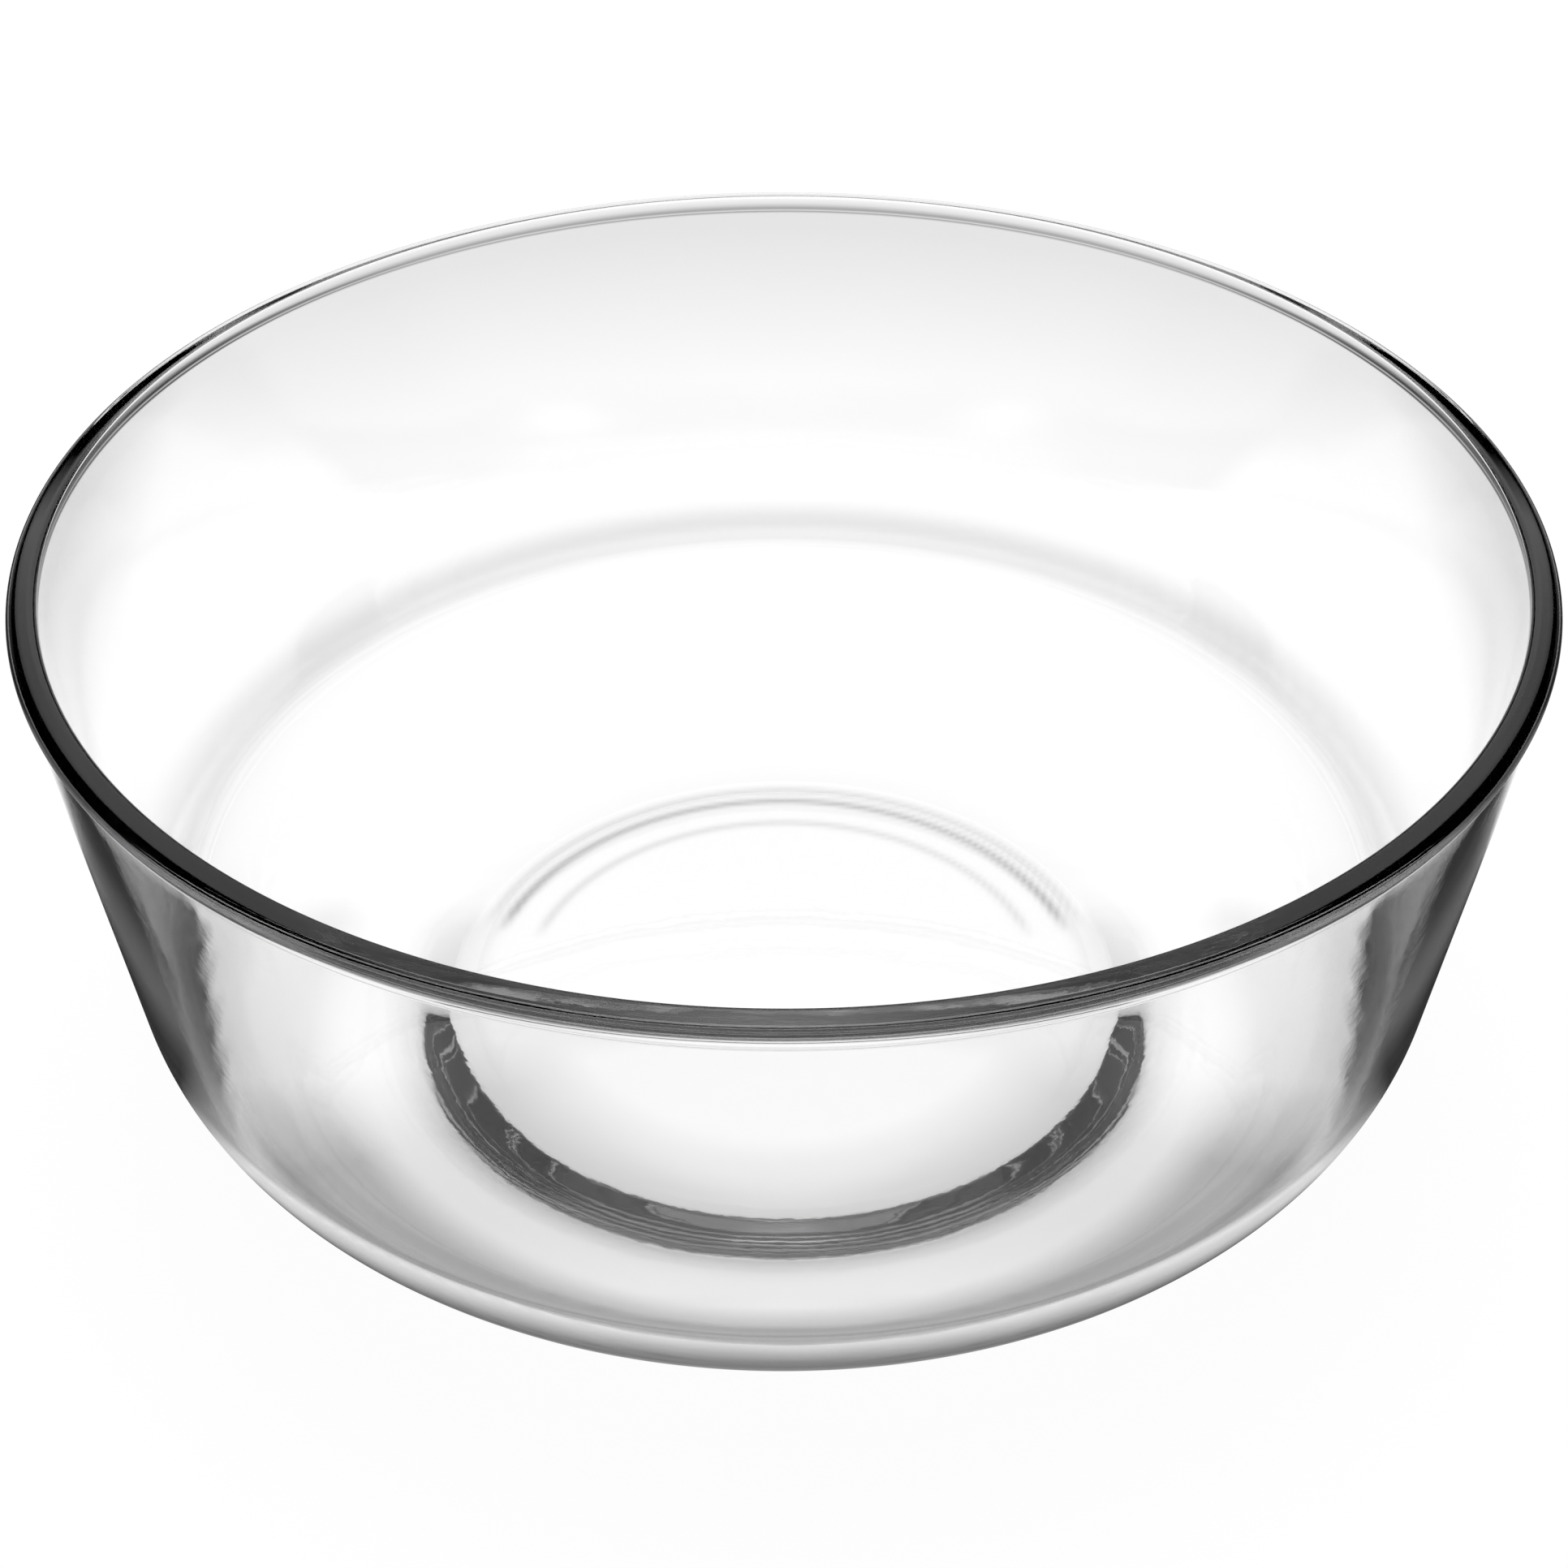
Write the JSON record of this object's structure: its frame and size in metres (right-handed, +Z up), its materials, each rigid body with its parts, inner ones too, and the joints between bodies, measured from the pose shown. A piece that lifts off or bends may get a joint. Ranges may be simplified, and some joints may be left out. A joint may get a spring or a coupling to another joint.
{
  "type": "glass bowl",
  "caption": "Round clear pressed-glass mixing bowl with a leaning wall, rounded shoulder, beaded rim and a low foot ring to stand on.",
  "frame": {"origin": "centre of the foot ring, on the table that the bowl stands on", "axes": "+Z up along the bowl's axis of revolution; X and Y are any two level directions"},
  "size_m": [0.23, 0.23, 0.092],
  "materials": {
    "clear_glass": "fire-polished, clear and smooth"
  },
  "bodies": {
    "root": {"bowl": "clear_glass"}
  },
  "joints": []
}
